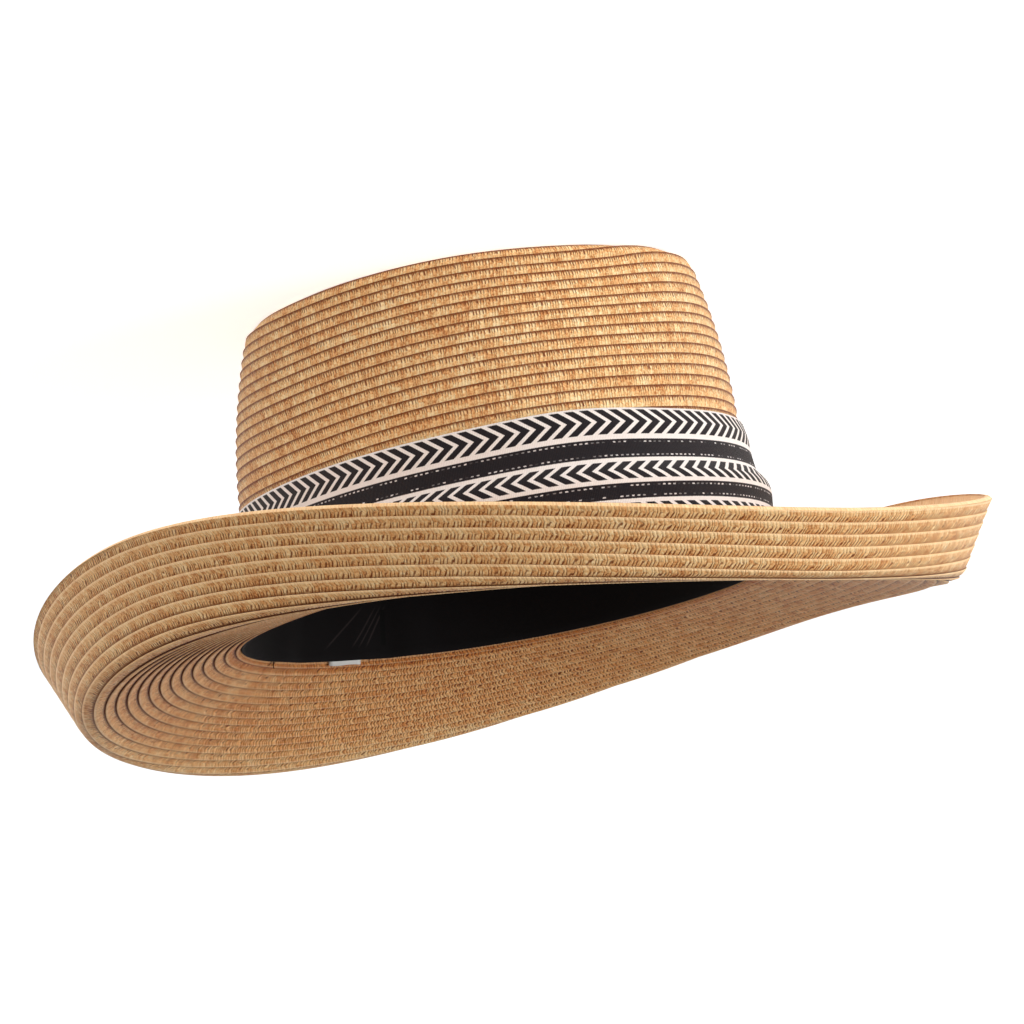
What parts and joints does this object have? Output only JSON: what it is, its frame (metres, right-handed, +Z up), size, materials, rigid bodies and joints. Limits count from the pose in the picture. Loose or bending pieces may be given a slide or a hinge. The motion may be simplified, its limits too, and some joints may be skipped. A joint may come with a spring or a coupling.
{
  "type": "straw hat",
  "caption": "Sewn straw-braid hat with an upturned kettle brim, a woven chevron cloth band and a black sweatband, kept crown down on its flat tip.",
  "frame": {"origin": "middle of the crown's flat tip, where the hat rests", "axes": "+Z up, from the crown's flat tip on the floor to the head opening; -Y is the front of the hat; +X is the wearer's right side"},
  "size_m": [0.2984, 0.347, 0.1349],
  "materials": {
    "straw": "plaited straw braid, satin",
    "band_cloth": "woven cotton, matte",
    "sweatband_cloth": "matte black cloth",
    "tab_cloth": "matte white cloth"
  },
  "bodies": {
    "root": {"crown": "straw", "brim": "straw", "hat_band": "band_cloth", "sweatband": "sweatband_cloth", "size_tab": "tab_cloth"}
  },
  "joints": []
}
